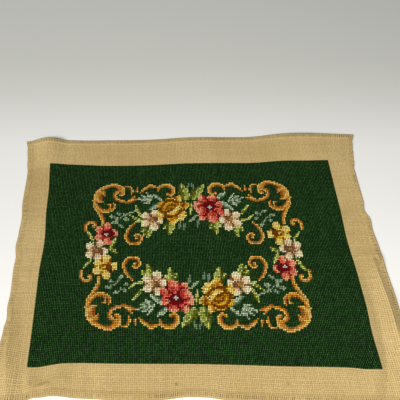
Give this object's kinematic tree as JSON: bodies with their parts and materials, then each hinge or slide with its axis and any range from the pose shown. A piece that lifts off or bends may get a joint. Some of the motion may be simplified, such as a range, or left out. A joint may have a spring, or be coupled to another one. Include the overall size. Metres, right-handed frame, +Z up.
{
  "type": "needlepoint canvas panel",
  "caption": "Hemmed tan canvas panel whose dark green wool tent-stitch field carries a wreath of scrolls, roses and leaves, lying loose with rippled edges.",
  "frame": {"origin": "centre of the lying panel's plan, on the surface it lies on", "axes": "+X along the panel's width to the right, +Y to its back edge, +Z up out of the worked face"},
  "size_m": [0.625, 0.453, 0.0147],
  "materials": {
    "canvas": "woven double-thread cotton canvas, sized, matt with a faint sheen",
    "hem_thread": "fine brown sewing thread",
    "wool_green": "matt tapestry wool in tent stitch, dark green ground",
    "wool_scroll": "matt tapestry wool, rust to gold",
    "wool_red": "matt tapestry wool, maroon to pink",
    "wool_yellow": "matt tapestry wool, brown-gold to cream",
    "wool_pale": "matt tapestry wool, mauve to cream-pink",
    "wool_leaf": "matt tapestry wool, olive to yellow-green",
    "wool_grey": "matt tapestry wool, slate to pale grey-green"
  },
  "bodies": {
    "root": {"canvas_panel": "canvas"}
  },
  "joints": []
}
